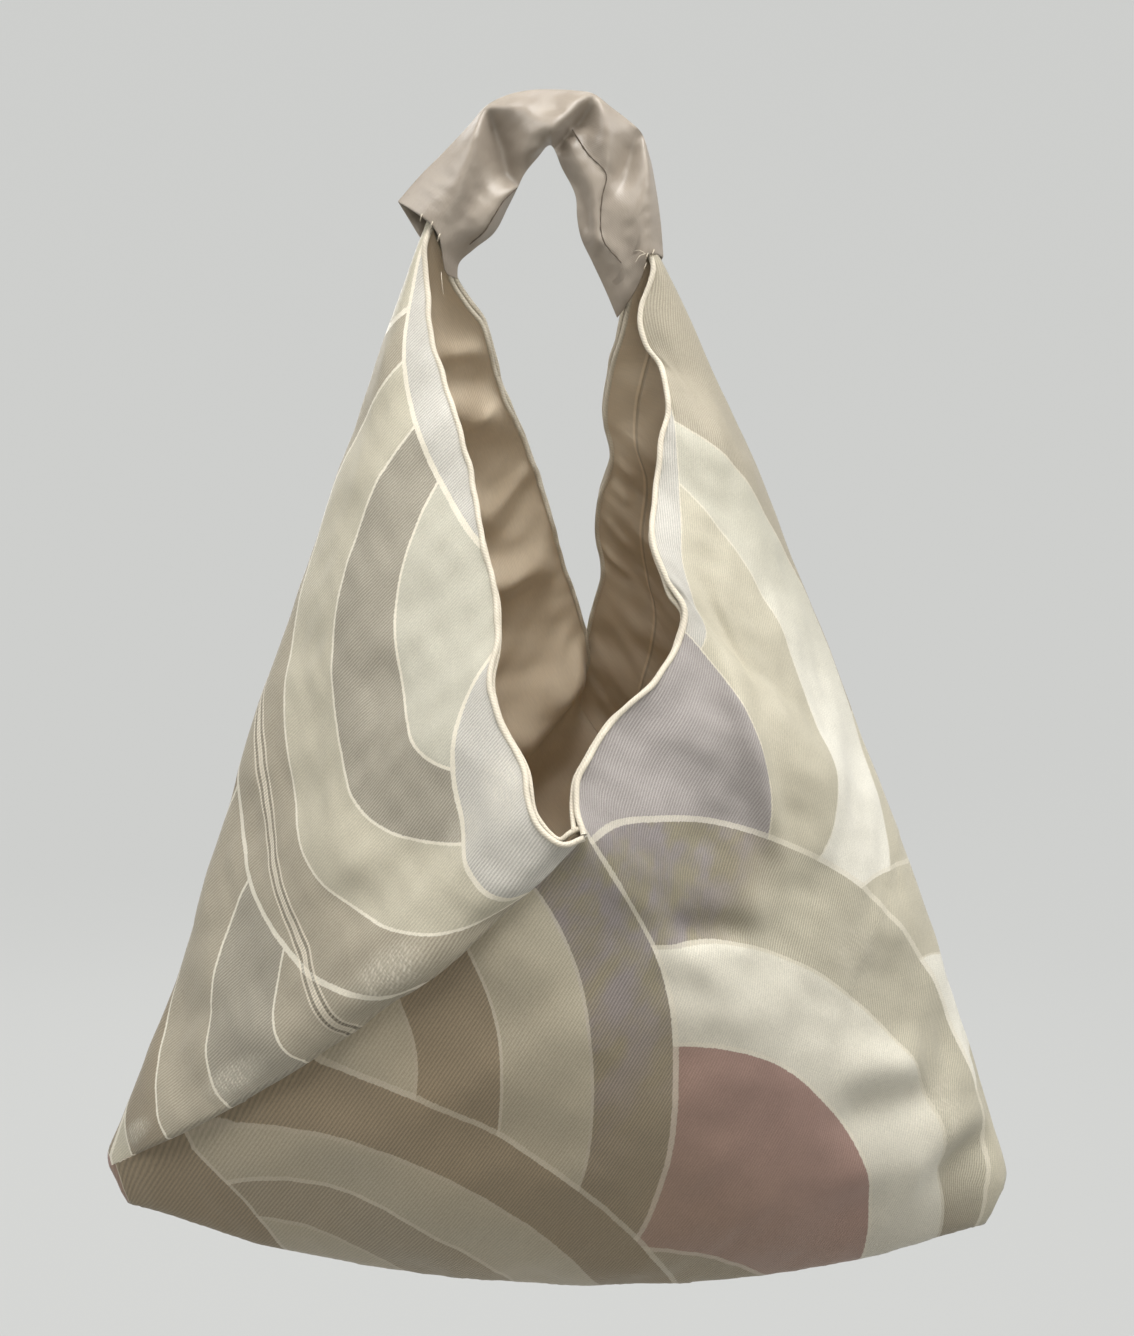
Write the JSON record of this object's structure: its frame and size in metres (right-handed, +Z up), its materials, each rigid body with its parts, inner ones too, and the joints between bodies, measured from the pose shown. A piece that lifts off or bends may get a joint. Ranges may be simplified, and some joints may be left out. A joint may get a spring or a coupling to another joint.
{
  "type": "azuma bukuro",
  "caption": "Triangular cloth hand bag folded from one long lined strip of obi brocade, its peaks joined by a satin sleeve handle, with an open slanting mouth front and back.",
  "frame": {"origin": "where a hook or a finger carries the bag, on the underside of the handle sleeve's crown", "axes": "+Z up, +X to the right as the bag is seen from the front, -Y towards the viewer"},
  "size_m": [0.3948, 0.1855, 0.5006],
  "materials": {
    "obi": "woven obi brocade with a soft sheen",
    "lining": "plain tan cotton",
    "rolled_edge": "cream turned edge",
    "satin": "champagne satin",
    "cotton": "plain cotton strap",
    "thread": "sewing thread"
  },
  "bodies": {
    "handle": {"handle_sleeve": "satin", "sleeve_seam": "thread", "handle_core": "cotton", "left_tack_stitch": "thread", "right_tack_stitch": "thread"},
    "bag": {"outer_left_wing": "obi", "outer_base": "obi", "outer_right_wing": "obi", "lining_left_wing": "lining", "lining_base": "lining", "lining_right_wing": "lining", "rim_front_left": "rolled_edge", "rim_front_right": "rolled_edge", "rim_back_left": "rolled_edge", "rim_back_right": "rolled_edge", "front_seam_thread": "thread", "back_seam_thread": "thread", "left_peak_tip": "obi", "right_peak_tip": "obi"}
  },
  "joints": [
    {"name": "bag_swing", "type": "hinge", "parent": "handle", "child": "bag", "pos_m": [-0.0065, 0, -0.046], "axis": [0.9793, 0, -0.2026], "range_deg": [-90, 90], "deforming": ["left_peak_tip", "right_peak_tip"]}
  ]
}
